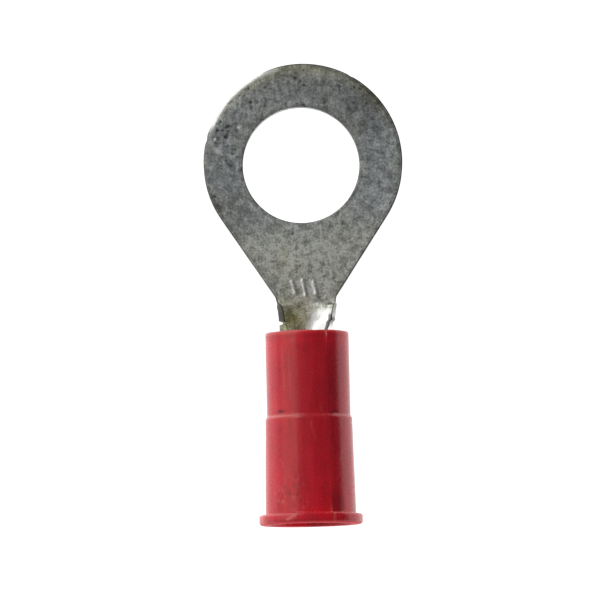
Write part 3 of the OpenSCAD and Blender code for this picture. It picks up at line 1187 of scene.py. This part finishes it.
def red_vinyl():
    """Moulded red vinyl: glossy, a little uneven in colour, with rubbed spots, dark pits, painted
    highlights and painted shade.
    """
    material, n = new_material("red_vinyl")
    shader = n.add("ShaderNodeBsdfPrincipled")
    flat = n.scaled(1, 1, 1)
    cloud = n.noise(flat, 0.8, 3.0, 0.55)
    fine = n.noise(flat, 7.0, 2.0, 0.5)
    drawn = n.noise(n.scaled(4.0, 0.35, 4.0), 1.2, 3.0, 0.55)

    colour = n.ramp(cloud, (0.3, (0.66, 0.005, 0.026)), (0.7, (0.8, 0.008, 0.032)))
    streak = n.ramp(drawn, (0.35, (0.9, 0.86, 0.88)), (0.65, (1.08, 1.12, 1.1)))
    colour = n.times(colour, streak)
    colour = n.times(colour, n.kept("tone", "Color"))
    # Painted shade and dark pits go dark red
    colour = n.mix(n.kept("dark_and_shade"), colour, (0.16, 0.005, 0.012))
    # Rubbed spots and painted highlights go pale pink
    colour = n.mix(n.kept("pale_and_highlight"), colour, (0.92, 0.2, 0.2))
    n.link(colour, shader.inputs["Base Color"])

    matt = n.math("MULTIPLY", n.kept("matt"), 0.5)
    rough = n.math("ADD", n.number(fine, 0.3, 0.7, 0.2, 0.3), matt)
    n.link(rough, shader.inputs["Roughness"])

    # Light that spreads under the surface stands for the vinyl's slight translucency
    shader.inputs["IOR"].default_value = 1.53
    shader.inputs["Subsurface Weight"].default_value = 0.5
    shader.inputs["Subsurface Radius"].default_value = (1.0, 0.08, 0.08)
    shader.inputs["Subsurface Scale"].default_value = 1.2 * MM

    relief = n.bump(cloud, 0.2, 0.03)
    relief = n.bump(fine, 0.12, 0.008, relief)
    n.link(relief, shader.inputs["Normal"])
    n.link(shader.outputs["BSDF"], n.out.inputs["Surface"])
    return material


def white_floor():
    """Pale sweep, bright enough by itself that nothing shows on it."""
    material, n = new_material("white_floor")
    shader = n.add("ShaderNodeEmission")
    shader.inputs["Strength"].default_value = 1.15
    n.link(shader.outputs["Emission"], n.out.inputs["Surface"])
    return material


# Scene


def frame_at(x_way, y_way, z_way, place):
    """Where an object stands whose own axes point those ways."""
    turn = Matrix((x_way, y_way, z_way)).transposed().to_4x4()
    return Matrix.Translation(place) @ turn


def make_floor():
    """A plain sheet where the part would rest on the ring's tip and the rim's foot."""
    tip = Vector((0, PUNCH_Y + RING_R, 0))
    rim = Vector((0, PUNCH_Y + SLEEVE_FRONT - RIM_START - 0.3, BARREL_R - RIM_R))
    side = Vector((1, 0, 0))
    along = (tip - rim).normalized()
    up = side.cross(along)
    bpy.ops.mesh.primitive_plane_add(size=3.0)
    floor = bpy.context.active_object
    floor.name = "floor"
    floor.matrix_world = frame_at(side, along, up, ((tip + rim) / 2 - up * FLOOR_GAP) * MM)
    floor.data.materials.append(white_floor())


def make_world():
    """Soft surroundings, brighter on the left, with a large window at the upper left."""
    world = bpy.data.worlds.new("studio")
    bpy.context.scene.world = world
    n = Nodes(world, "ShaderNodeOutputWorld")
    way = n.coords.outputs["Generated"]

    split = n.add("ShaderNodeSeparateXYZ")
    n.link(way, split.inputs[0])
    leftness = n.math("MULTIPLY_ADD", split.outputs["X"], -0.5, 0.5)
    levels = [(0.0, 0.07), (0.3, 0.12), (0.5, 0.26), (0.8, 0.3), (1.0, 0.42)]
    room = n.ramp(leftness, *[(place, grey(level)) for place, level in levels])

    toward = n.add("ShaderNodeVectorMath")
    toward.operation = "DOT_PRODUCT"
    toward.inputs[1].default_value = (-0.64, 0.77, 0.0)
    n.link(way, toward.inputs[0])
    window = n.number(toward.outputs["Value"], 0.66, 0.9, 0, 1, "SMOOTHSTEP")

    sky = n.add("ShaderNodeBackground")
    n.link(n.mix(window, room, (1.0, 0.98, 0.95)), sky.inputs["Color"])
    n.link(sky.outputs["Background"], n.out.inputs["Surface"])


def area_light(name, place, size_x, size_y, power, colour):
    """A soft box in metres and watts, aimed at the part's neck."""
    light = bpy.data.lights.new(name, "AREA")
    light.shape = "RECTANGLE"
    light.size = size_x
    light.size_y = size_y
    light.energy = power
    light.color = colour
    obj = bpy.data.objects.new(name, light)
    bpy.context.scene.collection.objects.link(obj)
    obj.location = place
    aim = Vector((0, -0.008, 0.001)) - Vector(place)
    obj.rotation_euler = aim.to_track_quat("-Z", "Y").to_euler()


def make_lights():
    area_light("upper_left_box", (-0.23, 0.21, 0.4), 0.34, 0.16, 0.25, (1, 1, 1))
    area_light("left_box", (-0.41, 0.01, 0.27), 0.25, 0.42, 0.26, (1.0, 0.93, 0.78))


def make_camera():
    """Nearly straight above, a little towards the wire's end, and turned by about a degree."""
    tilt = math.radians(4.5)
    roll = math.radians(1.32)
    away = 0.4
    view_width = 34.43 * MM
    target = Vector((-0.24, -7.79, 0.75)) * MM
    out_way = Vector((0, -math.sin(tilt), math.cos(tilt)))
    part_up = Vector((0, math.cos(tilt), math.sin(tilt)))
    up = part_up * math.cos(roll) + Vector((1, 0, 0)) * math.sin(roll)
    right = up.cross(out_way)
    camera = bpy.data.cameras.new("camera")
    camera.sensor_width = 36
    camera.lens = 36 * away / view_width
    camera.clip_start = 0.01
    camera.clip_end = 10
    obj = bpy.data.objects.new("camera", camera)
    bpy.context.scene.collection.objects.link(obj)
    obj.matrix_world = frame_at(right, up, out_way, target + out_way * away)
    bpy.context.scene.camera = obj


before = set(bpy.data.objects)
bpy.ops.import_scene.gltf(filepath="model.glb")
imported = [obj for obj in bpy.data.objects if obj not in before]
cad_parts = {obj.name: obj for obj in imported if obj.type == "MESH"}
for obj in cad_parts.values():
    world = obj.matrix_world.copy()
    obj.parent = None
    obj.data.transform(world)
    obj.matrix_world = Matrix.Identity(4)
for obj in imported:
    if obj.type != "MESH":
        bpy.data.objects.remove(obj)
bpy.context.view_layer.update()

terminal = make_terminal()
terminal.data.materials.append(tinned_copper())
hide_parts("terminal")
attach(terminal, "root")

sleeve = make_sleeve()
sleeve.data.materials.append(red_vinyl())
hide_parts("sleeve")
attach(sleeve, "root")

make_floor()
make_world()
make_lights()
make_camera()

settings = bpy.context.scene.view_settings
settings.view_transform = "Standard"
settings.look = "None"
